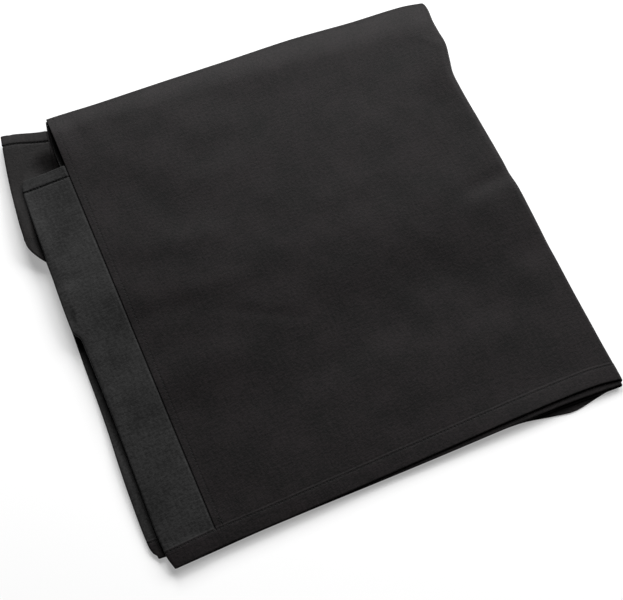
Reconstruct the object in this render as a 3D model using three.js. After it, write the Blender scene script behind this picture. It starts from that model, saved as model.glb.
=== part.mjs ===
import * as THREE from 'three';

// A box-shaped loudspeaker cover of coated woven polyester, lying folded flat.
// It is open at the bottom, with a hemmed handle slot through each short side.
// The box is pressed flat into a wide tube, its short sides creased down their
// middle. Then the upper part is turned under along the top fold, and the right
// half is turned under along the right fold.
//
// Three sets of coordinates are used, in millimetres:
//   tube    across U, up V and depth e, which is +0.5 on the front layer and -0.5
//           on the back layer; U is 0 at the front panel's left seam, V at its hem
//   stack   after the folds: u, v and the depth s, 0 at the floor and 8 on top
//   object  u and v from the middle of the folded cover, z up from the floor

// Driving dimensions of the cover
const FRONT_WIDTH = 805;
const WALL_HEIGHT = 610;
const HEM_DEPTH = 18;
const SLOT_LOW = 420;
const SLOT_HIGH = 485;
const SLOT_DROOP = 8;
const CLOTH = 1.2;
const PITCH = 2.0;
const SEAM_GAP = 0.4;

// Where the two folds lie
const TOP_FOLD_V = 477.7;
const TOP_FOLD_SLANT = THREE.MathUtils.degToRad(3.35);
const TOP_FOLD_LENGTH = Math.PI * PITCH;
const RIGHT_FOLD_U = 394;
const RIGHT_FOLD_LENGTH = Math.PI * 2 * PITCH;
const LAYERS_A_SIDE = 4;

// The half folded under lies a little turned, so its hem climbs to the left.
const UNDER_TURN = 0.03;

// Edge lines of the flattened tube: where the short sides are creased
const LEFT_CREASE = [
  { v: 0, u: -47 },
  { v: 15, u: -50 },
  { v: 36, u: -51.5 },
  { v: 320, u: -51.7 },
  { v: 402, u: -48.5 },
  { v: 420, u: -46 },
  { v: 481, u: -47.2 },
  { v: 544, u: -50.4 },
  { v: 591, u: -50 },
  { v: 609, u: -49 },
];
const RIGHT_CREASE = [
  { v: 0, u: 859.5 },
  { v: 20, u: 862 },
  { v: 60, u: 861 },
  { v: 127, u: 859 },
  { v: 250, u: 855.5 },
  { v: 420, u: 852 },
  { v: 488, u: 852 },
  { v: 609, u: 852 },
];

// Left edge of the back panel, which lies askew under the front panel's
const BACK_EDGE = [
  { v: 0, u: -5 },
  { v: 435, u: -5 },
  { v: 472, u: -1.5 },
  { v: 484, u: -1.5 },
  { v: 540, u: -5 },
];

// Bottom edges of the front and back layers
const FRONT_HEM = [
  { u: -51, v: 1.3 },
  { u: 0, v: 3.2 },
  { u: 60, v: 3.4 },
  { u: 200, v: 5 },
  { u: 310, v: 6 },
  { u: 370, v: 4 },
  { u: 394, v: -0.5 },
  { u: 407, v: -4 },
  { u: 432, v: -6.4 },
  { u: 457, v: -9.6 },
  { u: 476, v: -7 },
  { u: 510, v: -1.5 },
  { u: 620, v: -1 },
  { u: 760, v: -5 },
  { u: 820, v: -1 },
  { u: 861, v: 3 },
];
const BACK_HEM = [
  { u: -51, v: 1.3 },
  { u: 40, v: 3 },
  { u: 200, v: 1.6 },
  { u: 330, v: 0.6 },
  { u: 394, v: -2.6 },
  { u: 407, v: -4.2 },
  { u: 500, v: -2 },
  { u: 620, v: -1 },
  { u: 760, v: -5 },
  { u: 820, v: -1 },
  { u: 861, v: 3 },
];

// How far the folded edges stray from straight lines
const RIGHT_EDGE_STRAY = [
  { v: 0, out: 5 },
  { v: 90, out: 5.6 },
  { v: 150, out: 5.4 },
  { v: 250, out: 2.6 },
  { v: 300, out: 1.6 },
  { v: 352, out: -0.6 },
  { v: 366, out: -0.4 },
  { v: 380, out: 3 },
  { v: 395, out: 7 },
  { v: 406, out: 9 },
  { v: 416, out: 9 },
  { v: 431, out: 10.5 },
  { v: 456, out: 16.4 },
];
const TOP_EDGE_STRAY = [
  { u: -60, out: -1 },
  { u: 0, out: -0.8 },
  { u: 121, out: 2.8 },
  { u: 188, out: 4.3 },
  { u: 252, out: 6.4 },
  { u: 320, out: 4.6 },
  { u: 372, out: 4.8 },
  { u: 394, out: 2 },
  { u: 417, out: -2.4 },
];

// Places where two layers stand apart, by how many layers lie below the gap
const SPREADS = [
  { below: 1, amount: 2.6, u: -60, v: 130, reachU: 14, reachV: 150 },
  { below: 5, amount: 2.4, u: -62, v: 405, reachU: 16, reachV: 75 },
  { below: 6, amount: 3.0, u: 0, v: 460, reachU: 60, reachV: 64 },
  { below: 4, amount: 1.6, u: -30, v: 60, reachU: 40, reachV: 120 },
  { below: 7, amount: 0.8, u: -46, v: 230, reachU: 14, reachV: 200 },
];

// Soft swells of the upper layers
const SWELLS = [
  { amount: 1.5, u: 330, v: 330, reachU: 110, reachV: 60 },
  { amount: -1.0, u: 150, v: 250, reachU: 120, reachV: 90 },
  { amount: 1.2, u: 90, v: 410, reachU: 90, reachV: 55 },
  { amount: 0.9, u: 230, v: 90, reachU: 140, reachV: 50 },
  { amount: 1.6, u: 385, v: 420, reachU: 50, reachV: 40 },
];

// The flattened cap of the top panel
const CAP_DEPTH = 55;
const CAP_CORNER = 54;

// Mesh steps: columns between the left seam and the right fold, and steps round a fold
const COLUMN_PLACES = [14, 30, 50, 85, 130, 175, 220, 265, 310, 345, 372];
const ARC_STEPS = 8;
const SMALL_ARC_STEPS = 5;

const CLOTH_COLOUR = 0x2c2d2d;
const SIDE_COLOUR = 0x2f3130;

function smooth(from, to, x) {
  return THREE.MathUtils.smoothstep(x, from, to);
}

// Value of a table's column at x, on a soft curve through its rows.
function follow(rows, key, column, x) {
  const last = rows.length - 1;
  if (x <= rows[0][key]) return rows[0][column];
  if (x >= rows[last][key]) return rows[last][column];
  let i = 0;
  while (x > rows[i + 1][key]) i += 1;
  const slopeAt = (k) => {
    if (k === 0 || k === last) return 0;
    const run = rows[k + 1][key] - rows[k - 1][key];
    return (rows[k + 1][column] - rows[k - 1][column]) / run;
  };
  const step = rows[i + 1][key] - rows[i][key];
  const t = (x - rows[i][key]) / step;
  const a = rows[i][column];
  const b = rows[i + 1][column];
  const rise = (2 * t - 3) * t * t;
  return a * (1 + rise) - b * rise
    + slopeAt(i) * step * t * (1 - t) ** 2 - slopeAt(i + 1) * step * t * t * (1 - t);
}

// A soft hill, 1 at its middle and 0 beyond its reach.
function hill(spot, u, v) {
  const du = (u - spot.u) / spot.reachU;
  const dv = (v - spot.v) / spot.reachV;
  const r = Math.min(1, Math.sqrt(du * du + dv * dv));
  return (1 - r * r) ** 2;
}

// The upper part ends in a ridge, and past it the layers sink together. It ends at
// a slant, once above the right fold's plane and once below it.
const RIDGE_V = 290;
const RIDGE_SLOPE = 0.117;
const UNDER_RIDGE_V = 197;
const SINK_LENGTH = 90;
const SINK_MARGIN = 8;

function presence(below, u, v) {
  const upper = below >= LAYERS_A_SIDE;
  const end = upper ? RIDGE_V - RIDGE_SLOPE * u : UNDER_RIDGE_V + RIDGE_SLOPE * u;
  const inner = below >= 2 && below < 6;
  return inner ? smooth(end - SINK_MARGIN - SINK_LENGTH, end - SINK_MARGIN, v) : 1;
}

// Height of depth s in the stack over the place u, v.
function height(s, u, v) {
  const clear = (1 - CLOTH / PITCH) / 2;
  let z = 0;
  for (let below = 0; below < 2 * LAYERS_A_SIDE; below += 1) {
    const share = THREE.MathUtils.clamp(s - below, 0, 1);
    z += PITCH * share * presence(below, u, v);
  }
  z += Math.max(0, s - 2 * LAYERS_A_SIDE) * PITCH;
  for (const spot of SPREADS) {
    const share = THREE.MathUtils.clamp((s - spot.below + clear) / (2 * clear), 0, 1);
    z += spot.amount * share * hill(spot, u, v);
  }
  for (const spot of SWELLS) {
    z += spot.amount * smooth(1, 2 * LAYERS_A_SIDE - 1, s) * hill(spot, u, v);
  }
  return z - (PITCH - CLOTH) / 2;
}

// V of the top fold's near side at U in the tube.
function topFoldStart(U) {
  return TOP_FOLD_V - U * Math.tan(TOP_FOLD_SLANT);
}

// Turns what lies past the slanted top fold under; h is the depth in the half stack.
function turnTop(U, V, e) {
  const cos = Math.cos(TOP_FOLD_SLANT);
  const sin = Math.sin(TOP_FOLD_SLANT);
  const along = U * cos - (V - TOP_FOLD_V) * sin;
  const past = U * sin + (V - TOP_FOLD_V) * cos;
  let out = past;
  let h = 3 + e;
  if (past > TOP_FOLD_LENGTH) {
    out = TOP_FOLD_LENGTH - past;
    h = 1 - e;
  } else if (past > 0) {
    const angle = Math.PI * past / TOP_FOLD_LENGTH;
    out = PITCH * (1 + e) * Math.sin(angle);
    h = 2 + (1 + e) * Math.cos(angle);
  }
  return { u: along * cos + out * sin, v: TOP_FOLD_V - along * sin + out * cos, h };
}

// A place in the tube, carried through both folds.
function place(U, V, e) {
  const { u: across, v: up, h } = turnTop(U, V, e);
  const past = across - RIGHT_FOLD_U;
  const angle = Math.PI * THREE.MathUtils.clamp(past / RIGHT_FOLD_LENGTH, 0, 1);
  let u = across;
  if (past > RIGHT_FOLD_LENGTH) u = RIGHT_FOLD_U - (past - RIGHT_FOLD_LENGTH);
  else if (past > 0) u = RIGHT_FOLD_U;
  let v = up + UNDER_TURN * Math.max(0, past - RIGHT_FOLD_LENGTH / 2);

  const top = height(LAYERS_A_SIDE + h, u, v);
  const bottom = height(LAYERS_A_SIDE - h, u, v);
  const radius = (top - bottom) / 2;
  const z = (top + bottom) / 2 + radius * Math.cos(angle);
  u += radius * Math.sin(angle);

  const strayU = follow(RIGHT_EDGE_STRAY, 'v', 'out', v);
  const strayV = follow(TOP_EDGE_STRAY, 'u', 'out', u);
  const nearRight = smooth(60, RIGHT_FOLD_U, u);
  const nearTop = smooth(300, TOP_FOLD_V, v);
  return new THREE.Vector3(u + strayU * nearRight, v + strayV * nearTop, z);
}

// One sheet of cloth as a closed solid. point(i, j, side) gives a place on its outer
// face, side 1, or on its inner face, side -1.
function clothSolid(name, columns, rows, point, colour) {
  const positions = [];
  const index = [];
  for (const side of [1, -1]) {
    for (let j = 0; j <= rows; j += 1) {
      for (let i = 0; i <= columns; i += 1) positions.push(...point(i, j, side).toArray());
    }
  }
  const sheet = (columns + 1) * (rows + 1);
  const at = (i, j, inner) => j * (columns + 1) + i + (inner ? sheet : 0);
  const quad = (a, b, c, d) => index.push(a, b, c, a, c, d);
  for (let j = 0; j < rows; j += 1) {
    for (let i = 0; i < columns; i += 1) {
      quad(at(i, j), at(i + 1, j), at(i + 1, j + 1), at(i, j + 1));
      quad(at(i, j, 1), at(i, j + 1, 1), at(i + 1, j + 1, 1), at(i + 1, j, 1));
    }
  }
  for (let i = 0; i < columns; i += 1) {
    quad(at(i, 0, 1), at(i + 1, 0, 1), at(i + 1, 0), at(i, 0));
    quad(at(i, rows), at(i + 1, rows), at(i + 1, rows, 1), at(i, rows, 1));
  }
  for (let j = 0; j < rows; j += 1) {
    quad(at(0, j), at(0, j + 1), at(0, j + 1, 1), at(0, j, 1));
    quad(at(columns, j, 1), at(columns, j + 1, 1), at(columns, j + 1), at(columns, j));
  }
  const geometry = new THREE.BufferGeometry();
  geometry.setAttribute('position', new THREE.Float32BufferAttribute(positions, 3));
  geometry.setIndex(index);
  geometry.computeVertexNormals();
  const material = new THREE.MeshStandardMaterial({ color: colour, roughness: 0.85, metalness: 0 });
  const mesh = new THREE.Mesh(geometry, material);
  mesh.name = name;
  return mesh;
}

// Evenly spaced values from a to b.
function spread(a, b, steps) {
  return Array.from({ length: steps + 1 }, (_, k) => a + (b - a) * k / steps);
}

// Joins runs of values that share their end values.
function chain(...runs) {
  return runs.reduce((all, run) => all.concat(run.slice(1)));
}

// Columns of a wide panel in three runs: up to the right fold, round it, and past it.
// Each column is a share of its run.
function wideColumns(left, right, arcSteps) {
  const pastFold = RIGHT_FOLD_U + RIGHT_FOLD_LENGTH;
  const near = COLUMN_PLACES.map((u) => ({ run: 0, share: (u - left) / (RIGHT_FOLD_U - left) }));
  const round = spread(0, 1, arcSteps).map((share) => ({ run: 1, share }));
  const far = COLUMN_PLACES.map((u) => ({ run: 2, share: (RIGHT_FOLD_U - u) / (right - pastFold) }));
  return [{ run: 0, share: 0 }, ...near, ...round, ...far.reverse(), { run: 2, share: 1 }];
}

// Tube U where a row meets the line u after the top fold, so columns follow the fold.
function crossing(u, up) {
  let U = u;
  for (let n = 0; n < 8; n += 1) U += u - turnTop(U, up(U), 0).u;
  return U;
}

// Tube U of a column in a row that runs at height up(U).
function columnAt({ run, share }, left, right, up) {
  const start = crossing(RIGHT_FOLD_U, up);
  const end = crossing(RIGHT_FOLD_U + RIGHT_FOLD_LENGTH, up);
  const bounds = [left, start, end, right];
  return THREE.MathUtils.lerp(bounds[run], bounds[run + 1], share);
}

// A wall panel that runs through both folds, on the front or the back layer.
function wallPanel(name, { layer, left, right, hem, arcSteps, topSteps }) {
  const across = wideColumns(left(0), right, arcSteps);
  const below = chain([0, HEM_DEPTH / TOP_FOLD_V], spread(HEM_DEPTH / TOP_FOLD_V, 1, 14));
  const round = spread(0, TOP_FOLD_LENGTH / Math.cos(TOP_FOLD_SLANT), topSteps).slice(1);
  const above = spread(0, 1, 4).slice(1);
  const rows = below.length + round.length + above.length - 1;
  const upAt = (U, j) => {
    const start = topFoldStart(U);
    if (j < below.length) return THREE.MathUtils.lerp(follow(hem, 'u', 'v', U), start, below[j]);
    const arc = j - below.length;
    if (arc < round.length) return start + round[arc];
    const end = start + round[round.length - 1];
    return THREE.MathUtils.lerp(end, WALL_HEIGHT - SEAM_GAP / 2, above[arc - round.length]);
  };
  const point = (i, j, side) => {
    const column = across[layer > 0 ? i : across.length - 1 - i];
    const U = columnAt(column, left(upAt(0, j)), right, (at) => upAt(at, j));
    return place(U, upAt(U, j), layer * (0.5 + side * CLOTH / PITCH / 2));
  };
  return clothSolid(name, across.length - 1, rows, point, CLOTH_COLOUR);
}

// A short side's piece, creased down its middle. It runs from the front panel's seam
// round the crease to the back panel's seam; end is -1 at the left and 1 at the right.
function sidePanel(name, { end, frontSeam, backSeam, crease, lowEdge, highEdge, rows }) {
  const flat = 3;
  const columns = 2 * flat + SMALL_ARC_STEPS;
  const point = (i, j, side) => {
    const k = end > 0 ? i : columns - i;
    const depth = 0.5 + side * CLOTH / PITCH / 2;
    const guess = THREE.MathUtils.lerp(lowEdge(frontSeam, 1), highEdge(frontSeam), j / rows);
    const turn = follow(crease, 'v', 'u', guess) - end * PITCH / 2;
    let U;
    let e;
    if (k <= flat) {
      U = THREE.MathUtils.lerp(frontSeam, turn, k / flat);
      e = depth;
    } else if (k < flat + SMALL_ARC_STEPS) {
      const angle = Math.PI * (k - flat) / SMALL_ARC_STEPS;
      U = turn + end * PITCH * depth * Math.sin(angle);
      e = depth * Math.cos(angle);
    } else {
      U = THREE.MathUtils.lerp(turn, backSeam(guess), (k - flat - SMALL_ARC_STEPS) / flat);
      e = -depth;
    }
    const V = THREE.MathUtils.lerp(lowEdge(U, Math.sign(e)), highEdge(U), j / rows);
    return place(U, V, e);
  };
  return clothSolid(name, columns, rows, point, SIDE_COLOUR);
}

// Height of the cap's ridge over U: rounded at the corners, level between them.
function ridgeAt(U) {
  const left = LEFT_CREASE[LEFT_CREASE.length - 1].u;
  const right = RIGHT_CREASE[RIGHT_CREASE.length - 1].u;
  const inside = Math.min(U - left, right - U) / CAP_CORNER;
  return CAP_DEPTH * Math.sqrt(THREE.MathUtils.clamp(inside, 0, 1));
}

// The top panel, flattened into a cap: up one layer, over the ridge, down the other.
// Its corners are rounded, so its outer columns crowd towards both ends.
function topPanel() {
  const left = LEFT_CREASE[LEFT_CREASE.length - 1].u;
  const right = RIGHT_CREASE[RIGHT_CREASE.length - 1].u;
  const corner = spread(0, 1, 6).map((t) => t * t * CAP_CORNER);
  const middle = wideColumns(left + CAP_CORNER, right - CAP_CORNER, ARC_STEPS);
  const last = corner.length - 1;
  const across = (i, up) => {
    if (i < last) return left + corner[i];
    const k = i - last;
    if (k < middle.length) return columnAt(middle[k], left + CAP_CORNER, right - CAP_CORNER, up);
    return right - corner[last - 1 - (k - middle.length)];
  };
  const flat = 2;
  const rows = 2 * flat + SMALL_ARC_STEPS;
  const start = WALL_HEIGHT + SEAM_GAP / 2;
  const point = (i, j, side) => {
    const depth = 0.5 + side * CLOTH / PITCH / 2;
    const angle = Math.PI * THREE.MathUtils.clamp((j - flat) / SMALL_ARC_STEPS, 0, 1);
    const climb = Math.min(1, j / flat, (rows - j) / flat);
    const up = (U) => start + ridgeAt(U) * climb + PITCH * depth * Math.sin(angle);
    const U = across(i, up);
    return place(U, up(U), depth * Math.cos(angle));
  };
  return clothSolid('top_panel', middle.length - 1 + 2 * last, rows, point, CLOTH_COLOUR);
}

const backEdge = (V) => follow(BACK_EDGE, 'v', 'u', V);
const hemEdge = (U, layer) => follow(layer < 0 ? BACK_HEM : FRONT_HEM, 'u', 'v', U);
const slotLowEdge = () => SLOT_LOW;
const slotHighEdge = (U) => SLOT_HIGH + SLOT_DROOP * smooth(LEFT_CREASE[0].u, 0, U);
const wallTop = () => WALL_HEIGHT - SEAM_GAP / 2;

const ends = [
  { side: 'left', end: -1, seam: 0, crease: LEFT_CREASE },
  { side: 'right', end: 1, seam: FRONT_WIDTH, crease: RIGHT_CREASE },
];

const stack = new THREE.Group();
stack.add(wallPanel('front_panel', {
  layer: 1, left: () => SEAM_GAP / 2, right: FRONT_WIDTH - SEAM_GAP / 2, hem: FRONT_HEM,
  arcSteps: ARC_STEPS, topSteps: 6,
}));
stack.add(wallPanel('back_panel', {
  layer: -1, left: (V) => backEdge(V) + SEAM_GAP / 2, right: FRONT_WIDTH - SEAM_GAP / 2, hem: BACK_HEM,
  arcSteps: ARC_STEPS, topSteps: SMALL_ARC_STEPS,
}));
for (const { side, end, seam, crease } of ends) {
  const seams = {
    end,
    crease,
    frontSeam: seam + end * SEAM_GAP / 2,
    backSeam: (V) => (end < 0 ? backEdge(V) : FRONT_WIDTH) + end * SEAM_GAP / 2,
  };
  stack.add(sidePanel(`${side}_side_lower`, {
    ...seams, lowEdge: hemEdge, highEdge: slotLowEdge, rows: 12,
  }));
  stack.add(sidePanel(`${side}_side_upper`, {
    ...seams, lowEdge: slotHighEdge, highEdge: wallTop, rows: 5,
  }));
}
stack.add(topPanel());

// The origin is the middle of the folded cover, on the surface it lies on.
const box = new THREE.Box3().setFromObject(stack);
const middle = box.getCenter(new THREE.Vector3());
stack.position.set(-middle.x, -middle.y, -box.min.z);

const group = new THREE.Group();
group.add(stack);

export default group;
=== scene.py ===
import math
import bpy
import numpy as np
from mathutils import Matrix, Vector


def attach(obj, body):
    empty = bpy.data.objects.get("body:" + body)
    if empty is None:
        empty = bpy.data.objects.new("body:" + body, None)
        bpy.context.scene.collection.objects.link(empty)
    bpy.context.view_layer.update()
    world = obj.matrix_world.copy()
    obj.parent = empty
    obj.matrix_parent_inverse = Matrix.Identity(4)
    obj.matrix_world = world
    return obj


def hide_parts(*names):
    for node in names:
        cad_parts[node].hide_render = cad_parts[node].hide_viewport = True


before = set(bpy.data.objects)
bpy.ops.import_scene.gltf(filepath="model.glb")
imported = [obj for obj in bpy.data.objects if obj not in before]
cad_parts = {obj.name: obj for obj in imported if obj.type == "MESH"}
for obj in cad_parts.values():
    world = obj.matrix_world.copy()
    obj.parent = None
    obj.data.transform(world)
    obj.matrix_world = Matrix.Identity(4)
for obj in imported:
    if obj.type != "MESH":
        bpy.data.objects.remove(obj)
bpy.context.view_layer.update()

# Folded cloth cover for a loudspeaker. The cloth is laid out as a flat tube first: clothU across and
# clothV up, in mm, with e above 0 in the front layer and below 0 in the back one. Then it is carried
# through two folds. Places in the stack are u, v in mm and a depth s, from 0 at the floor to 8 on top.

cover = {
    "frontWidth": 805.0, "wallHeight": 610.0,
    "hem": 18.0, "slotHem": 13.0, "slotLow": 420.0, "slotHigh": 485.0, "slotDroop": 8.0,
    "capDepth": 55.0, "capCorner": 54.0,
    "seamGap": 0.4,
}

stack = {
    "pitch": 2.0,             # from one layer to the next
    "solidCloth": 1.2,        # thickness in the solids, between which the gaps open
    "layersASide": 4,         # above and below the right fold's middle
    "topFoldV": 477.7, "topFoldSlant": math.radians(3.35),
    "rightFoldU": 394.0, "underTurn": 0.03,
    "ridgeV": 290.0, "ridgeSlope": 0.117, "underRidgeV": 197.0, "sinkLength": 90.0, "sinkMargin": 8.0,
    "middleU": 176.877, "middleV": 237.128,
    "creasedFrom": 4.6, "creasedTo": 7.4,     # creases and ripples fade in from the first depth to the second
    "hemLine": -4.0,
    "strayFromU": 60.0, "strayFromV": 300.0,  # the far edges stray more and more from here on
}
topFoldLength = math.pi * stack["pitch"]
rightFoldLength = 2 * math.pi * stack["pitch"]

# Edge lines as rows of (place along, value), followed on a soft curve
leftCrease = [
    (0, -45.4), (15, -48.7), (36, -50), (67, -49.5), (99, -48.8), (130, -48.1), (166, -47.6), (231, -48),
    (240, -48.4), (247, -52.6), (255, -53.4), (290, -52.7), (323, -51.3), (402, -48.5), (416, -46.6),
    (420, -44.6), (481, -47.2), (544, -50.4), (591, -50), (609, -49),
]
rightCrease = [
    (0, 856.5), (5, 859.8), (20, 861.2), (60, 860.6), (92, 859.3), (127, 857.2), (160, 856), (200, 855.2),
    (250, 853.6), (300, 852.6), (420, 851.5), (488, 852.4), (544, 853.2), (609, 853),
]
backEdge = [(0, -5), (435, -5), (472, -1.5), (484, -1.5), (540, -5)]
frontHem = [
    (-51, 1.3), (0, 3.2), (60, 3.4), (200, 5), (310, 6), (370, 5), (394, 1.8), (407, -1), (432, -5.4),
    (457, -9.6), (476, -7), (510, -1.5), (620, -1), (760, -5), (820, -1), (861, 3),
]
backHem = [
    (-51, 1.3), (40, 3), (200, 1.6), (330, 0.6), (394, -2.6), (407, -4.2), (500, -2), (620, -1),
    (760, -5), (820, -1), (861, 3),
]
rightStray = [
    (0, 5), (90, 5.6), (150, 5.4), (250, 2.6), (300, 1.6), (352, -0.6), (366, -0.4), (380, 3),
    (395, 7), (406, 9), (416, 9), (431, 10.5), (456, 16.4),
]
topStray = [
    (-60, -1), (0, -0.8), (121, 2.8), (188, 4.3), (252, 6.4), (320, 4.6), (372, 4.8), (394, 2), (417, -2.4),
]

# Layers that stand apart: (layers below the gap, amount, u, v, reach in u, reach in v)
spreads = [
    (1, 2.6, -60, 120, 14, 130), (5, 3.0, -60, 372, 24, 56), (6, 2.0, 0, 460, 60, 64),
    (4, 1.6, -30, 60, 40, 120), (7, 0.8, -46, 230, 14, 200), (7, 2.6, -2, 447, 30, 40),
    (7, 0.4, 330, -6, 120, 40), (4, 1.8, 300, -6, 150, 40),
]

# The surface falls towards the top fold and the bottom hems: steepness, reach at u = 0,
# and how much further it reaches for each mm of u
falls = {"top": (0.175, 22, 0.042), "hems": (0.045, 22, 0)}

# The layers below the slot sink under its hem: (layers, amount, u, v, reach in u, reach in v)
sinks = [(6, 7.4, -17, 418, 27, 31), (7, 6.5, 2, 446, 9, 46), (6, 3.2, -47, 343, 13, 42)]

# Swells of the whole upper stack: (amount, u, v, reach in u, reach in v)
swells = [
    (0.5, 330, 330, 110, 60), (-0.5, 150, 250, 120, 90), (1.2, 90, 410, 90, 55), (0.9, 230, 90, 140, 50),
    (1.2, 394, 374, 95, 90), (2.6, 404, 382, 50, 68), (2.2, 365, 165, 85, 78),
]

# Creases of the upper layers: (rise, half width, u, v at one end, u, v at the other).
# A trough has a negative rise.
creases = [
    (-1.4, 1.5, -49.8, 252, -48.8, 272),
    (-1.3, 10, 403, 239, 350, 233),
    (-0.5, 7, -50, 300, -8, 296),
    (0.7, 14, 22, 305, 120, 290),
    (-0.6, 16, 12, 345, 110, 425),
    (0.7, 22, 85, 372, 170, 350),
    (-0.6, 12, 5, 238, 60, 231),
    (0.6, 12, 60, 246, 120, 238),
    (-0.4, 6, 90, 212, 150, 178),
    (0.5, 20, 60, 172, 110, 150),
    (-0.5, 20, 10, 150, 40, 120),
    (0.5, 20, 250, 138, 300, 150),
    (0.45, 4, 404, 388, 380, 412),
    (-0.5, 5, -48, 26, -4, 24),
]

# Faint ripples of the upper layers, none of them alike
ripples = {"count": 16, "height": 0.06, "shortest": 30.0, "longest": 85.0, "seed": 11}
random = np.random.default_rng(ripples["seed"])
rippleRows = [(random.uniform(ripples["shortest"], ripples["longest"]), random.uniform(0, math.pi),
               random.uniform(0, 2 * math.pi)) for _ in range(ripples["count"])]


def smooth(low, high, x):
    t = np.clip((x - low) / (high - low), 0, 1)
    return t * t * (3 - 2 * t)


def follow(rows, x):  # value of an edge line at x
    xs, ys = np.array(rows, dtype=float).T
    slopes = np.zeros(len(xs))
    slopes[1:-1] = (ys[2:] - ys[:-2]) / (xs[2:] - xs[:-2])
    i = np.clip(np.searchsorted(xs, x, side="right") - 1, 0, len(xs) - 2)
    step = xs[i + 1] - xs[i]
    t = np.clip((x - xs[i]) / step, 0, 1)
    rise = (2 * t - 3) * t * t
    return (ys[i] * (1 + rise) - ys[i + 1] * rise
            + slopes[i] * step * t * (1 - t) ** 2 - slopes[i + 1] * step * t * t * (1 - t))


def hill(u, v, midU, midV, reachU, reachV):
    r2 = np.minimum(1, ((u - midU) / reachU) ** 2 + ((v - midV) / reachV) ** 2)
    return (1 - r2) ** 2


def creaseAt(u, v, halfWidth, u0, v0, u1, v1):  # 1 along the crease, fading at its ends
    run = math.hypot(u1 - u0, v1 - v0)
    along = ((u - u0) * (u1 - u0) + (v - v0) * (v1 - v0)) / run
    away = ((u - u0) * (v1 - v0) - (v - v0) * (u1 - u0)) / run
    ends = smooth(-0.35 * run, 0.25 * run, along) * smooth(1.35 * run, 0.75 * run, along)
    return ends * np.exp(-(away / halfWidth) ** 2)


def presence(below, u, v):  # inner layers thin out below the ridge where the upper part ends
    if not 2 <= below < 6:
        return np.ones_like(u)
    if below >= stack["layersASide"]:
        end = stack["ridgeV"] - stack["ridgeSlope"] * u
    else:
        end = stack["underRidgeV"] + stack["ridgeSlope"] * u
    return smooth(end - stack["sinkMargin"] - stack["sinkLength"], end - stack["sinkMargin"], v)


def height(s, u, v):
    pitch, layers = stack["pitch"], 2 * stack["layersASide"]
    clear = (1 - stack["solidCloth"] / pitch) / 2
    z = np.maximum(0, s - layers) * pitch
    for below in range(layers):
        z = z + pitch * np.clip(s - below, 0, 1) * presence(below, u, v)
    for below, amount, *spot in spreads:
        z += amount * np.clip((s - below + clear) / (2 * clear), 0, 1) * hill(u, v, *spot)
    for amount, *spot in swells:
        z += amount * smooth(1, layers - 1, s) * hill(u, v, *spot)
    creased = smooth(stack["creasedFrom"], stack["creasedTo"], s)
    for rise, *line in creases:
        z += rise * creased * creaseAt(u, v, *line)
    for length, way, start in rippleRows:
        wave = np.sin((u * math.cos(way) + v * math.sin(way)) * 2 * math.pi / length + start)
        z += ripples["height"] * length / ripples["longest"] * creased * wave
    for below, amount, *spot in sinks:
        z -= amount * s / below * np.clip((below - s + clear) / (2 * clear), 0, 1) * hill(u, v, *spot)
    inwards = {"top": topFoldStart(u) - v, "hems": v - stack["hemLine"]}
    for edge, inside in inwards.items():
        steep, reach, widening = falls[edge]
        reach = reach + widening * np.clip(u, 0, stack["rightFoldU"])
        z -= steep * reach * s / layers * np.clip(1 - inside / reach, 0, 1) ** 2
    return z - (pitch - stack["solidCloth"]) / 2


def topFoldStart(clothU):
    return stack["topFoldV"] - clothU * math.tan(stack["topFoldSlant"])


def turnTop(clothU, clothV, e):  # turns what lies past the slanted top fold under
    cos, sin = math.cos(stack["topFoldSlant"]), math.sin(stack["topFoldSlant"])
    along = clothU * cos - (clothV - stack["topFoldV"]) * sin
    past = clothU * sin + (clothV - stack["topFoldV"]) * cos
    angle = math.pi * np.clip(past / topFoldLength, 0, 1)
    out = np.where(past > topFoldLength, topFoldLength - past,
                   np.where(past > 0, stack["pitch"] * (1 + e) * np.sin(angle), past))
    h = 2 + (1 + e) * np.cos(angle)
    return along * cos + out * sin, stack["topFoldV"] - along * sin + out * cos, h


def place(clothU, clothV, e):  # a place in the tube, carried through both folds, in metres
    across, up, h = turnTop(clothU, clothV, e)
    fold, layers = stack["rightFoldU"], stack["layersASide"]
    past = across - fold
    angle = math.pi * np.clip(past / rightFoldLength, 0, 1)
    u = np.where(past > rightFoldLength, fold - (past - rightFoldLength), np.minimum(across, fold))
    v = up + stack["underTurn"] * np.maximum(0, past - rightFoldLength / 2)
    top, bottom = height(layers + h, u, v), height(layers - h, u, v)
    radius = (top - bottom) / 2
    z = (top + bottom) / 2 + radius * np.cos(angle)
    u = u + radius * np.sin(angle)
    strayU = follow(rightStray, v) * smooth(stack["strayFromU"], fold, u)
    strayV = follow(topStray, u) * smooth(stack["strayFromV"], stack["topFoldV"], v)
    spot = np.stack([u + strayU - stack["middleU"], v + strayV - stack["middleV"], z], axis=-1)
    return spot / 1000


def crossing(u, up):  # clothU of every row where it meets the line u after the top fold
    clothU = np.full_like(up(np.array([[0.0]])), u)
    for _ in range(8):
        clothU = clothU + u - turnTop(clothU, up(clothU), 0)[0]
    return clothU


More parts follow.
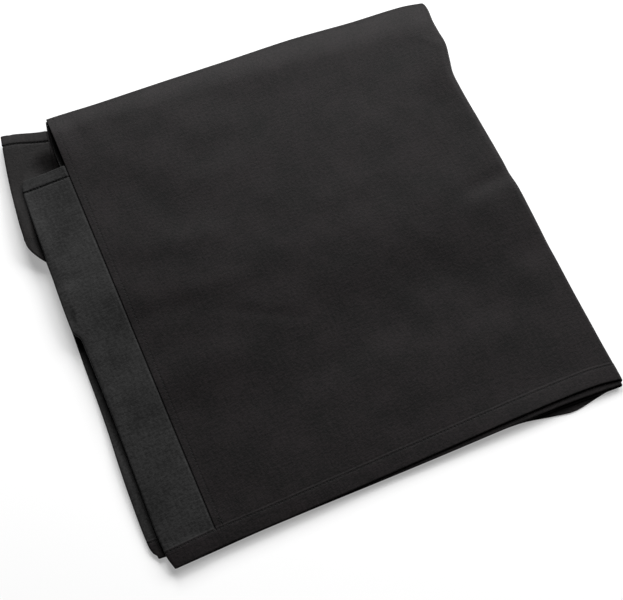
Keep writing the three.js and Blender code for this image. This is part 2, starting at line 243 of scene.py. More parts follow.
# How the cloth is sewn, in mm. Real cloth is 0.4 thick; it is drawn at 0.7 so that its edges show.
sewing = {
    "half": 0.35, "lift": 0.10,           # half the drawn thickness, and how far it lies above mid layer
    "hemHalf": 0.60, "hemLift": 0.02,     # a hem is the cloth turned twice
    "hemStitch": 2.0,                     # stitches run this far inside the hem's upper edge
    "lap": 8.0, "lapLift": 0.04,          # the panels lap over the side pieces
    "lapBead": 0.05,                      # their turned edges stand up a little
    "lapStitch": 6.5,
    "groove": 0.34, "grooveWidth": 0.75,
    "hemPull": 0.5, "slotPull": 2.3, "lapPull": 0.3,   # how hard each row pulls the cloth in, and how much shade is painted along it
    "hemDip": 0.12,                       # the cloth dips where a hem ends on it
    "pinched": 0.1,                       # what is left of the thickness under a tight stitch
    "stitchPitch": 3.4, "stitchLength": 2.9, "threadWidth": 0.55, "rowStep": 1.2,
    "slotRise": 0.12, "tackRise": 0.25,   # how far tight and doubled stitches stand up
    "tackLow": 23.5, "tackHigh": 28.5, "tackWidth": 2.2, "tackTurns": 6, "tackPoints": 60,
    "seed": 7,
}


def edgeRound(distance, radius=0.7):  # a turned edge is round
    t = np.clip(distance / radius, 0, 1)
    return np.sqrt(np.clip(1 - (1 - t) ** 2, 0.03, 1))


def relief(clothU, clothV, hemAt, laps, slots=()):
    # Middle and half thickness of the cloth, how close the nearest row of stitches is (also painted shade
    # along it), where along it, where the cloth's black back shows inside (painted shade), and the bottom hem
    # (kept free of painted sheen). Inside a hem the woven side shows.
    mid = np.full_like(clothU, sewing["lift"])
    half = np.full_like(clothU, sewing["half"])
    groove = np.zeros_like(clothU)
    turned = np.zeros_like(clothU)
    band = np.zeros_like(clothU)
    along = clothU.copy()
    hems = [(hemAt(clothU), 1, cover["hem"], sewing["hemStitch"], sewing["hemPull"], 1)]
    hems += [(edge, way, cover["slotHem"], 0, sewing["slotPull"], 0) for edge, way in slots]
    for edge, way, depth, inset, pull, atBottom in hems:
        d = (clothV - edge) * way
        inside = smooth(depth + 0.9, depth - 0.6, d)
        turned = np.maximum(turned, inside)
        band = np.maximum(band, inside * atBottom)
        mid += (sewing["hemLift"] - sewing["lift"]) * inside
        half += (sewing["hemHalf"] - sewing["half"]) * inside
        mid -= sewing["hemDip"] * np.exp(-((d - depth - 0.9) / 0.6) ** 2)
        stitchAt = depth - inset
        groove = np.maximum(groove, pull * np.exp(-((d - stitchAt) / sewing["grooveWidth"]) ** 2))
        half *= edgeRound(d)
    above = smooth(cover["hem"] - 1, cover["hem"] + 5, clothV - hemAt(clothU))
    for edge, way in laps:
        d = (clothU - edge) * way
        inside = smooth(sewing["lap"] + 2.5, sewing["lap"] - 2.5, d) * above
        mid += sewing["lapLift"] * inside + sewing["lapBead"] * np.exp(-(d / 0.9) ** 2) * above
        near = sewing["lapPull"] * np.exp(-((d - sewing["lapStitch"]) / sewing["grooveWidth"]) ** 2) * above
        along = np.where(near > groove, clothV, along)
        groove = np.maximum(groove, near)
        half *= edgeRound(d)
    return mid, half, groove, along, 1 - turned, band


def buildCloth(name, sheetAt, uv, mid, half, groove, along, coatShadeMask, band, material):
    # Closed shell of cloth: sheetAt(offset) gives clothU, clothV, e of the face at that offset from mid layer
    over = mid + half - sewing["groove"] * groove
    under = np.minimum(mid - half + 0.5 * sewing["groove"] * groove, over - sewing["pinched"])
    outer = place(*sheetAt(over))
    inner = place(*sheetAt(under))
    rows, columns = mid.shape
    count = rows * columns
    number = np.arange(count).reshape(rows, columns)
    a, b, c, d = number[:-1, :-1], number[:-1, 1:], number[1:, 1:], number[1:, :-1]
    faces = [np.stack([a, b, c, d], -1).reshape(-1, 4), np.stack([a, d, c, b], -1).reshape(-1, 4) + count]
    rims = [(number[0, :-1] + count, number[0, 1:] + count, number[0, 1:], number[0, :-1]),
            (number[-1, :-1], number[-1, 1:], number[-1, 1:] + count, number[-1, :-1] + count),
            (number[:-1, 0], number[1:, 0], number[1:, 0] + count, number[:-1, 0] + count),
            (number[:-1, -1] + count, number[1:, -1] + count, number[1:, -1], number[:-1, -1])]
    faces = np.concatenate(faces + [np.stack(rim, -1) for rim in rims])
    points = np.concatenate([outer.reshape(-1, 3), inner.reshape(-1, 3)])
    points[:, 2] = np.maximum(points[:, 2], 0)   # lying on the floor
    mesh = bpy.data.meshes.new(name)
    mesh.from_pydata(points.tolist(), [], faces.tolist())
    mesh.polygons.foreach_set("use_smooth", np.ones(len(faces), dtype=bool))
    flat = np.stack([np.broadcast_to(way, mid.shape) for way in uv], -1).reshape(-1, 2)
    flat = np.concatenate([flat, flat]) / 1000
    mesh.uv_layers.new(name="clothUv").data.foreach_set("uv", flat[faces.ravel()].ravel())
    # The stitch-row value also paints shade in the colour, the back's value paints it dead black as shade,
    # and the hem value keeps the hem free of painted sheen
    for label, face, back in (("sewGrooveShade", groove, groove), ("sewAlong", along / 1000, along / 1000),
                              ("coatedShade", 0 * mid, coatShadeMask), ("hemBand", band, band)):
        data = mesh.attributes.new(label, "FLOAT", "POINT").data
        data.foreach_set("value", np.concatenate([face.ravel(), back.ravel()]))
    mesh.materials.append(material)
    mesh.validate()
    piece = bpy.data.objects.new(name, mesh)
    bpy.context.scene.collection.objects.link(piece)
    return piece


# Materials

def srgb(code):  # sRGB hex to linear
    parts = [int(code[i:i + 2], 16) / 255 for i in (1, 3, 5)]
    return [c / 12.92 if c <= 0.04045 else ((c + 0.055) / 1.055) ** 2.4 for c in parts] + [1.0]


def addNode(tree, kind, settings=None, links=None):
    node = tree.nodes.new(kind)
    for key, value in (settings or {}).items():
        if isinstance(key, int) or key in node.inputs:
            node.inputs[key].default_value = value
        else:
            setattr(node, key, value)
    for key, socket in (links or {}).items():
        tree.links.new(socket, node.inputs[key])
    return node


def weighed(tree, terms):  # sum of sockets, each times its share
    total = None
    for socket, share in terms:
        links = {0: socket, 2: total} if total else {0: socket}
        added = addNode(tree, "ShaderNodeMath", {"operation": "MULTIPLY_ADD", 1: share, 2: 0.0}, links)
        total = added.outputs[0]
    return total


weave = {
    "thread": 0.0009,      # m; 600 denier threads lie 0.45 mm apart, drawn at 0.9 mm so that they show
    "wander": 0.0013,      # how far the threads stray from straight lines
    "bump": 0.00020,
    "roughness": 0.62,
    "coatingShade": "#050505",  # the cloth's back is black; its dead black is also painted shade in the gaps between layers
}


def oxfordCloth(name, dyeAndSheen, hemDye):
    # Polyester oxford, woven, with a black coat on its back: matt, faintly grainy, threads uneven in
    # thickness.
    # The first pair of colours is the cloth's lightest and darkest, with painted sheen on the side pieces;
    # the second pair is the hem band's, without it.
    material = bpy.data.materials.new(name)
    material.use_nodes = True
    tree = material.node_tree
    tree.nodes.clear()
    output = addNode(tree, "ShaderNodeOutputMaterial")
    uv = addNode(tree, "ShaderNodeUVMap", {"uv_map": "clothUv"}).outputs["UV"]
    wander = addNode(tree, "ShaderNodeTexNoise", {"Scale": 260.0, "Detail": 1.0}, {"Vector": uv})
    moved = addNode(tree, "ShaderNodeVectorMath", {"operation": "MULTIPLY_ADD", 1: [weave["wander"]] * 3},
                    {0: wander.outputs["Color"], 2: uv})
    strayed = moved.outputs[0]
    part = addNode(tree, "ShaderNodeSeparateXYZ", links={0: strayed})
    waves = []
    for i in (0, 1):
        turn = addNode(tree, "ShaderNodeMath", {"operation": "MULTIPLY", 1: math.pi / weave["thread"]},
                       {0: part.outputs[i]})
        wave = addNode(tree, "ShaderNodeMath", {"operation": "SINE"}, {0: turn.outputs[0]})
        waves.append(wave.outputs[0])
    checker = addNode(tree, "ShaderNodeMath", {"operation": "MULTIPLY"}, {0: waves[0], 1: waves[1]})
    crossed = checker.outputs[0]
    # threads of both ways, each a little thicker or thinner than the next
    runs = []
    for stretch in ((1, 0.12), (0.12, 1)):
        mapped = addNode(tree, "ShaderNodeMapping", {"Scale": [k / weave["thread"] for k in (*stretch, 1)]},
                         {"Vector": strayed})
        uneven = addNode(tree, "ShaderNodeTexNoise", {"Scale": 0.55, "Detail": 2.0, "Roughness": 0.6},
                         {"Vector": mapped.outputs[0]})
        runs.append(uneven.outputs["Fac"])
    grain = addNode(tree, "ShaderNodeTexNoise", {"Scale": 380.0, "Detail": 3.0, "Roughness": 0.7},
                    {"Vector": uv})
    cloud = addNode(tree, "ShaderNodeTexNoise", {"Scale": 22.0, "Detail": 4.0, "Roughness": 0.6},
                    {"Vector": uv})
    # Painted shade: the colour darkens along each row of stitches and its groove, and more at the needle
    # holes
    near = addNode(tree, "ShaderNodeAttribute", {"attribute_name": "sewGrooveShade"}).outputs["Fac"]
    along = addNode(tree, "ShaderNodeAttribute", {"attribute_name": "sewAlong"}).outputs["Fac"]
    perMetre = 2000 * math.pi / sewing["stitchPitch"]
    turn = addNode(tree, "ShaderNodeMath", {"operation": "MULTIPLY", 1: perMetre}, {0: along})
    beat = addNode(tree, "ShaderNodeMath", {"operation": "COSINE"}, {0: turn.outputs[0]})
    clear = addNode(tree, "ShaderNodeMapRange", {"From Min": 0.35}, {"Value": beat.outputs[0]})
    pricked = addNode(tree, "ShaderNodeMath", {"operation": "MULTIPLY"}, {0: clear.outputs[0], 1: near})
    holes = pricked.outputs[0]
    tone = weighed(tree, [(runs[0], 0.5), (runs[1], 0.5), (crossed, 0.08), (grain.outputs["Fac"], 1.5),
                          (cloud.outputs["Fac"], 1.1), (near, -0.35), (holes, -0.5)])
    mixed = addNode(tree, "ShaderNodeMapRange", {"From Min": 1.53, "From Max": 2.07}, {"Value": tone})
    colours = []
    for light, dark in (dyeAndSheen, hemDye):
        dyed = addNode(tree, "ShaderNodeMix", {"data_type": "RGBA", 6: srgb(dark), 7: srgb(light)},
                       {0: mixed.outputs[0]})
        colours.append(dyed.outputs[2])
    # the bottom hem takes the second colours, without the painted sheen
    band = addNode(tree, "ShaderNodeAttribute", {"attribute_name": "hemBand"}).outputs["Fac"]
    face = addNode(tree, "ShaderNodeMix", {"data_type": "RGBA"}, {0: band, 6: colours[0], 7: colours[1]})
    # Painted shade: where its back shows, the cloth takes a dead black, so that the gaps between layers read
    # as shadow
    coatedShade = addNode(tree, "ShaderNodeAttribute", {"attribute_name": "coatedShade"}).outputs["Fac"]
    colour = addNode(tree, "ShaderNodeMix", {"data_type": "RGBA", 7: srgb(weave["coatingShade"])},
                     {0: coatedShade, 6: face.outputs[2]})
    rise = weighed(tree, [(crossed, 0.16), (runs[0], 0.5), (runs[1], 0.5), (grain.outputs["Fac"], 1.6),
                          (holes, -1.6)])
    bump = addNode(tree, "ShaderNodeBump", {"Strength": 0.8, "Distance": weave["bump"]}, {"Height": rise})
    shader = addNode(tree, "ShaderNodeBsdfPrincipled", {
        "Roughness": weave["roughness"], "IOR": 1.45, "Specular IOR Level": 0.12,
        "Sheen Weight": 0.04, "Sheen Roughness": 0.4,
    }, {"Base Color": colour.outputs[2], "Normal": bump.outputs[0]})
    tree.links.new(shader.outputs[0], output.inputs[0])
    return material


def sewingThread(name, colour, twistColour):  # twisted polyester thread, a little glossier than the cloth
    material = bpy.data.materials.new(name)
    material.use_nodes = True
    tree = material.node_tree
    shader = tree.nodes["Principled BSDF"]
    spot = addNode(tree, "ShaderNodeTexCoord").outputs["Object"]
    twist = addNode(tree, "ShaderNodeTexWave", {"Scale": 900.0, "Distortion": 1.0}, {"Vector": spot})
    tint = addNode(tree, "ShaderNodeMix", {"data_type": "RGBA", 6: srgb(colour), 7: srgb(twistColour)},
                   {0: twist.outputs["Fac"]})
    tree.links.new(tint.outputs[2], shader.inputs["Base Color"])
    shader.inputs["Roughness"].default_value = 0.6
    shader.inputs["Specular IOR Level"].default_value = 0.2
    return material


# Painted sheen: the same black cloth is drawn lighter where its weave lies another way and catches more light
dyesAndSheen = {"panel": ("#181415", "#060505"), "side": ("#262626", "#111111"), "upper": ("#1b1919", "#0a0909")}
panelCloth = oxfordCloth("blackOxfordPolyester", dyesAndSheen["panel"], dyesAndSheen["panel"])
sideCloth = oxfordCloth("blackOxfordPolyesterCrosswaysSheen", dyesAndSheen["side"], dyesAndSheen["panel"])
upperCloth = oxfordCloth("blackOxfordPolyesterAslantSheen", dyesAndSheen["upper"], dyesAndSheen["panel"])
thread = sewingThread("blackPolyesterThread", "#080809", "#131314")
print("materials ready")


# Wall panels

wall = {
    "frontStep": 3.2, "backStep": 5.0, "farStep": 7.0,   # mesh spacing; far parts lie underneath
    "halfWidth": 390.0, "underHeight": 130.0,            # about as much as lies past each fold
    "foldSteps": 26, "topFoldSteps": 14,
    "edgeSteps": [0, 0.1, 0.3, 0.7, 1.3, 2.2, 3.4, 4.6, 5.3, 5.8, 6.2, 6.5, 6.8, 7.2, 7.8, 8.6, 9.6, 11.5,
                  14],
    "hemSteps": [0, 0.1, 0.3, 0.7, 1.4, 3, 6, 9.5, 12.5, 14.3, 15.1, 15.6, 16, 16.4, 16.9, 17.5, 18.2, 18.9,
                 19.7, 21, 23, 26],
}


def evenly(low, high, step):
    return np.linspace(low, high, max(2, int(round(abs(high - low) / step)) + 1))


def wallPanel(name, layer, left, right, hem, material, step):
    hemRows, edge = np.array(wall["hemSteps"]), np.array(wall["edgeSteps"])
    gap, top = cover["seamGap"] / 2, cover["wallHeight"] - cover["seamGap"] / 2
    # each row is clothV = a * hem + b * fold start + c
    rows = [(1, 0, d) for d in hemRows]
    middle = evenly(0, 1, step / (stack["topFoldV"] - hemRows[-1]))[1:]
    rows += [(1 - t, t, hemRows[-1] * (1 - t)) for t in middle]
    arc = topFoldLength / math.cos(stack["topFoldSlant"])
    rows += [(0, 1, arc * k / wall["topFoldSteps"]) for k in range(1, wall["topFoldSteps"] + 1)]
    underneath = evenly(0, 1, wall["farStep"] / wall["underHeight"])[1:]
    rows += [(0, 1 - t, (1 - t) * arc + t * top) for t in underneath]
    a, b, c = (np.array(x, dtype=float)[:, None] for x in zip(*rows))

    def up(clothU):
        return a * follow(hem, clothU) + b * topFoldStart(clothU) + c

    startU = crossing(stack["rightFoldU"], up)
    endU = crossing(stack["rightFoldU"] + rightFoldLength, up)
    leftU = left(up(np.zeros_like(startU))) + gap
    rightU = np.full_like(startU, right - gap)
    near = evenly(0, 1, step / (stack["rightFoldU"] - edge[-1]))
    turning = np.linspace(0, 1, wall["foldSteps"] + 1)[1:]
    far = evenly(0, 1, wall["farStep"] / wall["halfWidth"])[1:]
    clothU = np.concatenate([
        leftU + edge[None, :-1],
        leftU + edge[-1] + (startU - leftU - edge[-1]) * near[None, :],
        startU + (endU - startU) * turning[None, :],
        endU + (rightU - edge[-1] - endU) * far[None, :],
        rightU - edge[::-1][None, 1:],
    ], axis=1)
    if layer < 0:
        clothU = clothU[:, ::-1]
    clothV = up(clothU)

    def hemAt(at):
        return follow(hem, at)

    parts = relief(clothU, clothV, hemAt, [(leftU, 1), (rightU, -1)])

    def sheetAt(offset):
        return clothU, clothV, layer * (0.5 + offset / stack["pitch"])

    return buildCloth(name, sheetAt, (clothU, clothV), *parts, material)


def frontSeam(clothV):  # where the front panel meets the left side piece
    return 0 * clothV


def backSeam(clothV):
    return follow(backEdge, clothV)


def farSeam(clothV):  # where both panels meet the right side piece
    return 0 * clothV + cover["frontWidth"]


frontPanel = wallPanel("frontPanelCloth", 1, frontSeam, cover["frontWidth"], frontHem, panelCloth,
                       wall["frontStep"])
backPanel = wallPanel("backPanelCloth", -1, backSeam, cover["frontWidth"], backHem, panelCloth,
                      wall["backStep"])
print("wall panels:", len(frontPanel.data.polygons), len(backPanel.data.polygons), "faces")


# Side pieces, creased down their middle

side = {
    "step": 2.6, "halfDepth": 45.0, "creaseSteps": 10,
    "tuck": 0.75, "backTuck": 0.25, "hemTuck": 0.05,   # how far the cloth dips under the panel's edge
    "furrow": 1.1,                                     # how hard the seam pulls it in beside that edge, and how much shade is painted there
    "seamSteps": [-7.6, -5, -3, -1.6, -0.8, -0.2, 0.3, 0.8, 1.4, 2.1, 3, 4.5, 7],
    "slotSteps": [0, 0.1, 0.3, 0.7, 1.4, 3, 6, 9, 11, 11.9, 12.4, 12.8, 13.2, 13.7, 14.3, 15.2, 16.5, 18.5],
    "topSteps": [0.0, 0.15, 3.0],
}


def sidePiece(name, end, front, back, crease, lowEdge, highEdge, lowRows, highRows, slot, material):
    # columns run from under the front panel, round the crease, to under the back panel
    seam = np.array(side["seamSteps"])
    flat = evenly(0, 1, side["step"] / side["halfDepth"])[1:]
    arc = np.arange(1, side["creaseSteps"]) / side["creaseSteps"]
    stretches = [(seam, 1), (flat, 1), (arc, 0), (flat[::-1], -1), (seam[::-1], -1)]
    value = np.concatenate([steps for steps, _ in stretches])
    facing = np.concatenate([np.full(len(steps), way) for steps, way in stretches])
    run = np.concatenate([np.full(len(steps), k) for k, (steps, _) in enumerate(stretches)])
    total = len(run)
    lowest, highest = lowEdge(front, 1), highEdge(front)
    span = float(highest - lowest)
    spare = highRows[-1] + lowRows[-1]
    between = evenly(0, 1, side["step"] * 1.2 / max(1, span - spare))[1:-1]
    # each row is clothV = a * low edge + b * high edge + c
    rows = [(1, 0, d) for d in lowRows]
    rows += [(1 - t, t, lowRows[-1] * (1 - t) - highRows[-1] * t) for t in between]
    rows += [(0, 1, -d) for d in highRows[::-1]]
    a, b, c = (np.array(x, dtype=float)[:, None] for x in zip(*rows))
    rough = lowest + (highest - lowest) * np.clip(b + (c / span), 0, 1)
    turn = follow(crease, rough) - end * stack["pitch"] / 2
    backU = back(rough)
    frontStart, backStart = front + end * seam[-1], backU + end * seam[-1]
    flatU = np.select(
        [run == 0, run == 1, run == 2, run == 3],
        [front + end * value, frontStart + (turn - frontStart) * value,
         turn, backStart + (turn - backStart) * value],
        backU + end * value)
    bend = np.where(run == 2, value, np.where(run < 2, 0.0, 1.0)) * math.pi

    def lowAt(at):
        return np.where(facing >= 0, lowEdge(at, 1), lowEdge(at, -1))

    def hemAt(at):  # the piece above the slot has no bottom hem
        return lowAt(at) if slot == "above" else at * 0 - 1000.0

    def sheetAt(offset):
        depth = 0.5 + offset / stack["pitch"]
        clothU = np.broadcast_to(flatU, offset.shape) + end * stack["pitch"] * depth * np.sin(bend)
        clothV = a * lowAt(clothU) + b * highEdge(clothU) + c
        return clothU, clothV, depth * np.cos(bend)

    clothU, clothV, _ = sheetAt(np.zeros((len(rows), total)))
    slotHem = (highEdge(clothU), -1) if slot == "above" else (lowEdge(clothU, 1), 1)
    mid, half, groove, *sewn = relief(clothU, clothV, hemAt, [], [slotHem])
    # the cloth dips where the panels lap over it, but the hem runs on over the seam
    reach = np.where(facing > 0, (clothU - front) * end, (clothU - backU) * end)
    dip = smooth(2.4, -0.4, reach) * (facing != 0)
    hemmed = smooth(cover["hem"], cover["hem"] - 3, clothV - hemAt(clothU))
    tuck = np.where(facing > 0, side["tuck"], side["backTuck"])
    mid = mid - (tuck + (side["hemTuck"] - tuck) * hemmed) * dip
    # the furrow is pulled in, and the same value paints shade along the seam
    furrow = side["furrow"] * np.exp(-((reach - 0.3) / 0.9) ** 2) * (facing > 0) * (1 - hemmed)
    groove = np.maximum(groove, furrow)
    steps = np.abs(np.diff(flatU[0])) + np.diff(bend) * stack["pitch"] / 2
    girth = np.cumsum(np.concatenate([[0], steps]))
    order = slice(None, None, end)

    def pick(x):
        return np.broadcast_to(x, (len(rows), total))[:, order]

    def pickedSheet(offset):
        return tuple(pick(x) for x in sheetAt(offset[:, order]))

    uv = (pick(front + end * girth[None, :]), pick(clothV))
    return buildCloth(name, pickedSheet, uv, *(pick(x) for x in (mid, half, groove, *sewn)), material)


def hemEdge(clothU, layer):
    return follow(frontHem if layer > 0 else backHem, clothU)


def slotLowEdge(clothU):
    return np.zeros_like(clothU) + cover["slotLow"]


def slotHighEdge(clothU, layer=1):
    return cover["slotHigh"] + cover["slotDroop"] * smooth(leftCrease[0][1], 0, clothU)


def wallTop(clothU):
    return np.zeros_like(clothU) + cover["wallHeight"] - cover["seamGap"] / 2


ends = {
    "left": (-1, 0.0, backSeam, leftCrease),
    "right": (1, cover["frontWidth"], farSeam, rightCrease),
}
sides = {}
for label, (end, front, back, crease) in ends.items():
    sides[label + "Lower"] = sidePiece(
        label + "SideLowerCloth", end, front, back, crease, hemEdge, slotLowEdge,
        np.array(wall["hemSteps"]), np.array(side["slotSteps"]), "above", sideCloth)
    sides[label + "Upper"] = sidePiece(
        label + "SideUpperCloth", end, front, back, crease, slotHighEdge, wallTop,
        np.array(side["slotSteps"]), np.array(side["topSteps"]), "below", upperCloth)
print("side pieces:", len(sides))


# Top panel, pressed into a flat cap

cap = {
    "flatSteps": 9, "creaseSteps": 8, "cornerSteps": 12, "step": 8.0,
    "underSteps": [4.0, 2.6, 1.4, 0.5], "tuck": 0.06,   # its seam allowance, and how far that lies lower
    "cornerRound": 0.6,                                 # 1 cuts the corners straight
    "rowLength": 6.0,
}


def topPanel():
    left, right = leftCrease[-1][1], rightCrease[-1][1]
    corner, depth = cover["capCorner"], cover["capDepth"]
    start = cover["wallHeight"] + cover["seamGap"] / 2
    k = np.arange(2 * cap["flatSteps"] + cap["creaseSteps"] + 1)
    bend = math.pi * np.clip((k - cap["flatSteps"]) / cap["creaseSteps"], 0, 1)
    climb = np.minimum(1, np.minimum(k, k[::-1]) / cap["flatSteps"])
    # the seam allowance lies under the walls
    under = np.array(cap["underSteps"])
    lap = np.concatenate([under, 0 * k, under[::-1]])[:, None]
    bend = np.concatenate([0 * under, bend, 0 * under + math.pi])[:, None]
    climb = np.concatenate([0 * under, climb, 0 * under])[:, None]

    def ridge(clothU):
        return depth * np.clip(np.minimum(clothU - left, right - clothU) / corner, 0, 1) ** cap["cornerRound"]

    def up(clothU, half=0.5):
        return start - lap + ridge(clothU) * climb + stack["pitch"] * half * np.sin(bend)

    startU = crossing(stack["rightFoldU"], up)
    endU = crossing(stack["rightFoldU"] + rightFoldLength, up)
    bent = np.linspace(0, 1, cap["cornerSteps"] + 1) ** 2 * corner
    near = evenly(0, 1, cap["step"] / wall["halfWidth"])
    turning = np.linspace(0, 1, wall["foldSteps"] + 1)[1:]
    clothU = np.concatenate([
        left + bent[None, :-1] + 0 * startU,
        left + corner + (startU - left - corner) * near[None, :],
        startU + (endU - startU) * turning[None, :],
        endU + (right - corner - endU) * near[None, 1:],
        right - bent[::-1][None, 1:] + 0 * startU,
    ], axis=1)
    mid = sewing["lift"] - cap["tuck"] * smooth(-0.3, 1.2, lap - ridge(clothU) * climb) * np.ones_like(clothU)
    half = np.full_like(clothU, sewing["half"])

    def sheetAt(offset):
        depthAt = 0.5 + offset / stack["pitch"]
        return clothU, up(clothU, depthAt), depthAt * np.cos(bend)

    none = 0 * clothU
    length = cap["rowLength"] * np.arange(len(lap))[:, None]
    uv = (clothU, length + cover["wallHeight"])
    # its whole back shows the black coat, drawn dead black as painted shade
    return buildCloth("topPanelCloth", sheetAt, uv, mid, half, none, clothU, none + 1, none, upperCloth)


capPanel = topPanel()
print("top panel:", len(capPanel.data.polygons), "faces")


# Rows of stitches

def seamRows():
    # every row as clothU, clothV, layer and offset of the cloth's outer face from mid layer
    hemFace = sewing["hemLift"] + sewing["hemHalf"] - 0.5 * sewing["groove"]
    slotFace = sewing["lift"] + sewing["slotRise"]
    lapFace = sewing["lift"] + sewing["lapLift"] + sewing["half"] - 0.45 * sewing["groove"]
    rows = []
    left, right = leftCrease[1][1] + 2, rightCrease[1][1] - 2
    for layer, hem in ((1, frontHem), (-1, backHem)):
        clothU = np.arange(left, right, sewing["rowStep"])
        rows.append((clothU, follow(hem, clothU) + cover["hem"] - sewing["hemStitch"], layer, hemFace))
        clothV = np.arange(cover["hem"] + 8, cover["wallHeight"] - 4, sewing["rowStep"])
        seamU = frontSeam(clothV) if layer > 0 else backSeam(clothV)
        rows.append((seamU + sewing["lapStitch"], clothV, layer, lapFace))
        rows.append((farSeam(clothV) - sewing["lapStitch"], clothV, layer, lapFace))
        for far, near in ((leftCrease, 0), (rightCrease, cover["frontWidth"])):
            for slotV, way in ((cover["slotLow"], -1), (cover["slotHigh"], 1)):
                low, high = sorted((float(follow(far, slotV)), near))
                clothU = np.arange(low + 2, high - 2, sewing["rowStep"])
                clothV = slotV + way * cover["slotHem"] + 0 * clothU
                if way > 0:
                    clothV = clothV + cover["slotDroop"] * smooth(leftCrease[0][1], 0, clothU)
                rows.append((clothU, clothV, layer, slotFace))
    # the end of the front seam is sewn to and fro
    turns, points = sewing["tackTurns"], sewing["tackPoints"]
    zig = np.arange(0, turns + 1)
    zag = np.where(zig % 2, sewing["tackHigh"], sewing["tackLow"])
    clothV = np.interp(np.linspace(0, turns, points), zig, zag)
    clothU = sewing["lapStitch"] - 0.9 + np.linspace(0, sewing["tackWidth"], points)
    rows.append((clothU, clothV, 1, lapFace + sewing["tackRise"]))
    return rows


def seamMesh(rows):
    points, edges, outward = [], [], []
    for clothU, clothV, layer, offset in rows:
        on = place(clothU, clothV, layer * (0.5 + offset / stack["pitch"]) + 0 * clothU)
        off = place(clothU, clothV, layer * (0.5 + (offset + 0.5) / stack["pitch"]) + 0 * clothU)
        outward += ((off - on) / np.linalg.norm(off - on, axis=1)[:, None]).tolist()
        first = len(points)
        on[:, 2] = np.maximum(on[:, 2], sewing["threadWidth"] / 2000)   # lying on the floor
        points += on.tolist()
        edges += [(first + i, first + i + 1) for i in range(len(clothU) - 1)]
    mesh = bpy.data.meshes.new("stitchRows")
    mesh.from_pydata(points, edges, [])
    mesh.attributes.new("outward", "FLOAT_VECTOR", "POINT").data.foreach_set("vector", np.ravel(outward))
    return mesh


def stitchTree():
    tree = bpy.data.node_groups.new("stitchesAlongRows", "GeometryNodeTree")
    face = tree.interface
    face.new_socket("Geometry", in_out="INPUT", socket_type="NodeSocketGeometry")
    for label in ("Pitch", "Length", "Width"):
        face.new_socket(label, in_out="INPUT", socket_type="NodeSocketFloat")
    face.new_socket("Seed", in_out="INPUT", socket_type="NodeSocketInt")
    face.new_socket("Thread", in_out="INPUT", socket_type="NodeSocketMaterial")
    face.new_socket("Geometry", in_out="OUTPUT", socket_type="NodeSocketGeometry")
    given = addNode(tree, "NodeGroupInput").outputs
    curve = addNode(tree, "GeometryNodeMeshToCurve", links={"Mesh": given["Geometry"]})
    spaced = addNode(tree, "GeometryNodeResampleCurve", {"mode": "LENGTH"},
                     {"Curve": curve.outputs[0], "Length": given["Pitch"]})
    tangent = addNode(tree, "GeometryNodeInputTangent")
    outward = addNode(tree, "GeometryNodeInputNamedAttribute",
                      {"data_type": "FLOAT_VECTOR", "Name": "outward"})
    turn = addNode(tree, "FunctionNodeAxesToRotation", {"primary_axis": "X", "secondary_axis": "Z"},
                   {"Primary Axis": tangent.outputs[0], "Secondary Axis": outward.outputs[0]})
    ball = addNode(tree, "GeometryNodeMeshUVSphere", {"Segments": 6, "Rings": 5, "Radius": 0.5})
    size = addNode(tree, "ShaderNodeCombineXYZ",
                   links={"X": given["Length"], "Y": given["Width"], "Z": given["Width"]})
    jitter = addNode(tree, "FunctionNodeRandomValue", {"data_type": "FLOAT"}, {"Seed": given["Seed"]})
    jitter.inputs[2].default_value = 0.9
    jitter.inputs[3].default_value = 1.06
    scaled = addNode(tree, "ShaderNodeVectorMath", {"operation": "SCALE"},
                     {"Vector": size.outputs[0], "Scale": jitter.outputs[1]})
    placed = addNode(tree, "GeometryNodeInstanceOnPoints", links={
        "Points": spaced.outputs[0], "Instance": ball.outputs[0], "Rotation": turn.outputs[0],
        "Scale": scaled.outputs[0]})
    real = addNode(tree, "GeometryNodeRealizeInstances", links={0: placed.outputs[0]})
    shaded = addNode(tree, "GeometryNodeSetShadeSmooth", links={0: real.outputs[0]})
    dyed = addNode(tree, "GeometryNodeSetMaterial",
                   links={"Geometry": shaded.outputs[0], "Material": given["Thread"]})
    addNode(tree, "NodeGroupOutput", links={0: dyed.outputs[0]})
    return tree


def stitches(name, rows):
    guide = bpy.data.objects.new(name + "Guide", seamMesh(rows))
    bpy.context.scene.collection.objects.link(guide)
    modifier = guide.modifiers.new("stitches", "NODES")
    modifier.node_group = stitchTree()
    values = {"Pitch": sewing["stitchPitch"] / 1000, "Length": sewing["stitchLength"] / 1000,
              "Width": sewing["threadWidth"] / 1000, "Seed": sewing["seed"], "Thread": thread}
    for item in modifier.node_group.interface.items_tree:
        if item.item_type == "SOCKET" and item.in_out == "INPUT" and item.name in values:
            modifier[item.identifier] = values[item.name]
    graph = bpy.context.evaluated_depsgraph_get()
    mesh = bpy.data.meshes.new_from_object(guide.evaluated_get(graph))
    bpy.data.objects.remove(guide)
    mesh.name = name
    for attribute in [a for a in mesh.attributes if a.name == "outward"]:
        mesh.attributes.remove(attribute)
    piece = bpy.data.objects.new(name, mesh)
    bpy.context.scene.collection.objects.link(piece)
    return piece


seams = stitches("stitchRows", seamRows())
print("stitches:", len(seams.data.polygons), "faces")


# What each piece is in the frame

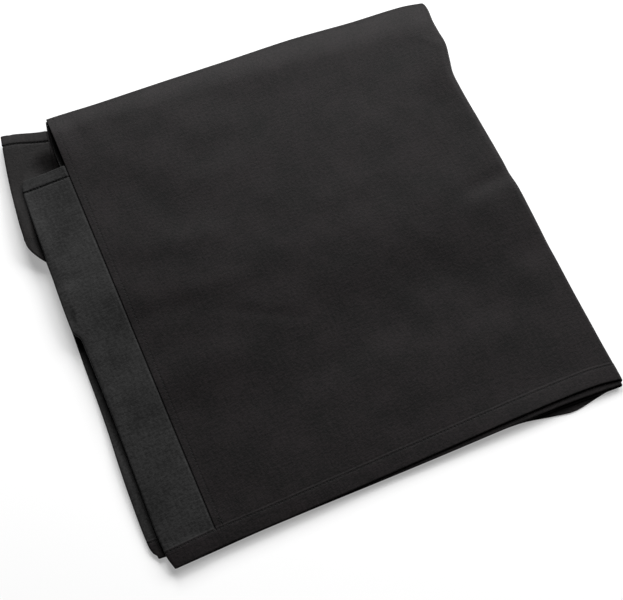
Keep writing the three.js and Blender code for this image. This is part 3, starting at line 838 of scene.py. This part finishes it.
pieces = {
    "front_panel": (frontPanel, "panel_cloth", (0.805, 0.610)),
    "back_panel": (backPanel, "panel_cloth", (0.810, 0.610)),
    "top_panel": (capPanel, "panel_cloth", (0.805, 0.105)),
    "left_side_lower": (sides["leftLower"], "side_cloth", (0.105, 0.420)),
    "left_side_upper": (sides["leftUpper"], "side_cloth", (0.105, 0.122)),
    "right_side_lower": (sides["rightLower"], "side_cloth", (0.105, 0.420)),
    "right_side_upper": (sides["rightUpper"], "side_cloth", (0.105, 0.122)),
}
for node, (piece, slot, _) in pieces.items():
    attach(piece, "root")
    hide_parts(node)
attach(seams, "root")


# Floor, light and camera

studio = {
    "floor": "#cfcfcf", "glow": 0.33, "floorSize": 6.0, "floorDrop": 0.0002,
    "sky": 0.03,
    "lampSize": 1.9,
    "lamps": [((0.790, 2.948, 1.908), 186.0), ((2.766, 1.290, 1.908), 138.0)],   # place, watts
}

floorMesh = bpy.data.meshes.new("floor")
reach = studio["floorSize"] / 2
corners = [(-reach, -reach), (reach, -reach), (reach, reach), (-reach, reach)]
floorMesh.from_pydata([(x, y, -studio["floorDrop"]) for x, y in corners], [], [(0, 1, 2, 3)])
floor = bpy.data.objects.new("floor", floorMesh)
bpy.context.scene.collection.objects.link(floor)
# Opal sheet lit from below, which keeps the shadows on it pale
opal = bpy.data.materials.new("opalSheet")
opal.use_nodes = True
opalShader = opal.node_tree.nodes["Principled BSDF"]
for label, value in (("Base Color", srgb(studio["floor"])), ("Roughness", 0.9), ("Specular IOR Level", 0.2),
                     ("Emission Color", (1, 1, 1, 1)), ("Emission Strength", studio["glow"])):
    opalShader.inputs[label].default_value = value
floorMesh.materials.append(opal)

for k, (spot, watts) in enumerate(studio["lamps"]):
    light = bpy.data.lights.new(f"softbox{k}", "AREA")
    light.size = studio["lampSize"]
    light.energy = watts
    lamp = bpy.data.objects.new(f"softbox{k}", light)
    lamp.location = spot
    lamp.rotation_euler = Vector(spot).to_track_quat("Z", "Y").to_euler()
    bpy.context.scene.collection.objects.link(lamp)

world = bpy.data.worlds.new("whiteRoom")
world.use_nodes = True
world.node_tree.nodes["Background"].inputs[0].default_value = (1, 1, 1, 1)
world.node_tree.nodes["Background"].inputs[1].default_value = studio["sky"]
bpy.context.scene.world = world
bpy.context.scene.view_settings.view_transform = "Standard"

view = {
    "lens": 80.9, "sensor": 36.0,
    "elevation": 66.08, "azimuth": -23.51, "distance": 1.349,
    "targetU": 169.0, "targetV": 194.0,
}
camera = bpy.data.cameras.new("camera")
camera.lens, camera.sensor_width = view["lens"], view["sensor"]
eye = bpy.data.objects.new("camera", camera)
elevation, azimuth = math.radians(view["elevation"]), math.radians(view["azimuth"])
level = math.cos(elevation)
towards = Vector((math.sin(azimuth) * level, -math.cos(azimuth) * level, math.sin(elevation)))
target = Vector((view["targetU"] - stack["middleU"], view["targetV"] - stack["middleV"], 0)) / 1000
eye.location = target + towards * view["distance"]
eye.rotation_euler = towards.to_track_quat("Z", "Y").to_euler()
bpy.context.scene.collection.objects.link(eye)
bpy.context.scene.camera = eye

bpy.context.view_layer.update()
